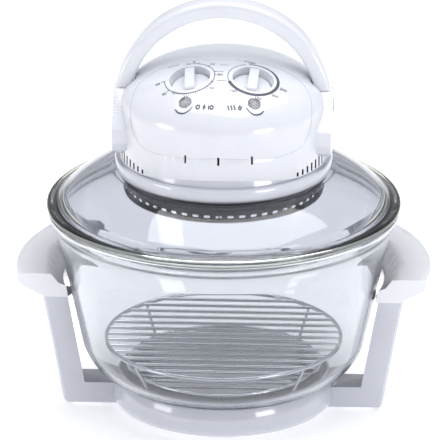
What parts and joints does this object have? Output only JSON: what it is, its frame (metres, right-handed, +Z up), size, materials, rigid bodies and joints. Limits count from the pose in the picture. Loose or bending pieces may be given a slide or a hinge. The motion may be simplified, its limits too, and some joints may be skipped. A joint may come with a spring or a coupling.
{
  "type": "halogen convection oven",
  "caption": "Glass bowl on a two-armed stand with grips, wire racks inside, and a glass lid carrying a domed motor head with folding arch handle and two dials.",
  "frame": {"origin": "centre of the footprint at table level, under the rubber feet", "axes": "+Z up, dials face -Y, grips along X"},
  "size_m": [0.388, 0.33, 0.401],
  "materials": {
    "white_plastic": "glossy, faint lavender tint",
    "bowl_glass": "clear, thick, faint grey-green",
    "lid_glass": "clear with a grey tint",
    "grey_rubber": "matte",
    "black_plastic": "satin",
    "chrome_wire": "bright chrome",
    "chrome_sheet": "polished",
    "steel": "zinc plated",
    "aluminium": "bright rolled",
    "brass": "plain",
    "copper": "copper tube",
    "ceramic": "unglazed white ceramic",
    "mica": "pressed board",
    "lens": "clear, faceted",
    "lamp": "orange glow lamp",
    "quartz": "frosted quartz",
    "iron": "laminated iron"
  },
  "bodies": {
    "stand": {"base_ring": "white_plastic", "base_plate": "white_plastic", "rubber_feet": "grey_rubber", "base_screws": "steel", "bowl_pads": "grey_rubber", "left_arm": "white_plastic", "right_arm": "white_plastic", "arm_covers": "white_plastic", "arm_bumpers": "grey_rubber", "left_grip": "white_plastic", "right_grip": "white_plastic", "grip_covers": "white_plastic", "grip_screws": "steel"},
    "bowl": {"glass_bowl": "bowl_glass"},
    "low_rack": {"low_rack": "chrome_wire"},
    "high_rack": {"high_rack": "chrome_wire", "high_rack_legs": "chrome_wire"},
    "handle": {"handle": "white_plastic"},
    "timer_knob": {"timer_knob": "white_plastic", "timer_shaft": "steel"},
    "thermostat_knob": {"thermostat_knob": "white_plastic", "thermostat_shaft": "steel"},
    "rotor": {"motor_shaft": "steel", "cooling_fan": "aluminium", "convection_fan": "aluminium", "fan_nut": "brass"},
    "switch_plunger": {"switch_plunger": "black_plastic"},
    "head": {"glass_lid": "lid_glass", "lid_gasket": "grey_rubber", "lower_housing": "white_plastic", "top_cover": "white_plastic", "vent_screens": "black_plastic", "control_panel": "white_plastic", "power_lens": "lens", "heat_lens": "lens", "indicator_lamps": "lamp", "timer_unit": "steel", "timer_bell": "steel", "thermostat_unit": "ceramic", "thermostat_probe": "copper", "motor": "iron", "motor_bracket": "steel", "motor_screws": "steel", "insulation_disc": "mica", "heat_shield": "aluminium", "reflector_band": "chrome_sheet", "fan_guard": "chrome_wire", "halogen_tube": "quartz", "lamp_holders": "ceramic", "lamp_clips": "steel", "thermal_cutout": "black_plastic", "terminal_block": "ceramic", "safety_switch": "black_plastic", "cord_gland": "black_plastic", "pivot_pins": "white_plastic", "housing_screws": "steel"}
  },
  "joints": [
    {"name": "bowl_lift", "type": "slide", "parent": "stand", "child": "bowl", "axis": [0, 0, 1], "range_m": [0, 0.25]},
    {"name": "low_rack_lift", "type": "slide", "parent": "bowl", "child": "low_rack", "axis": [0, 0, 1], "range_m": [0, 0.02]},
    {"name": "high_rack_lift", "type": "slide", "parent": "bowl", "child": "high_rack", "axis": [0, 0, 1], "range_m": [0, 0.12]},
    {"name": "lid_lift", "type": "slide", "parent": "bowl", "child": "head", "axis": [0, 0, 1], "range_m": [0, 0.25]},
    {"name": "handle_fold", "type": "hinge", "parent": "head", "child": "handle", "pos_m": [0, 0, 0.299], "axis": [-1, 0, 0], "range_deg": [0, 75]},
    {"name": "timer_turn", "type": "hinge", "parent": "head", "child": "timer_knob", "pos_m": [-0.0296, -0.043, 0.33978], "axis": [0.1699, 0.2079, -0.9633], "range_deg": [0, 300]},
    {"name": "thermostat_turn", "type": "hinge", "parent": "head", "child": "thermostat_knob", "pos_m": [0.0296, -0.043, 0.33978], "axis": [-0.1699, 0.2079, -0.9633], "range_deg": [0, 270]},
    {"name": "fan_spin", "type": "hinge", "parent": "head", "child": "rotor", "pos_m": [0, 0, 0.222], "axis": [0, 0, 1], "continuous": true},
    {"name": "switch_press", "type": "slide", "parent": "head", "child": "switch_plunger", "axis": [0, 0, -1], "range_m": [0, 0.003]}
  ],
  "couplings": [
    {"joint": "switch_press", "follows": "handle_fold", "m_per_rad": 0.00186}
  ]
}
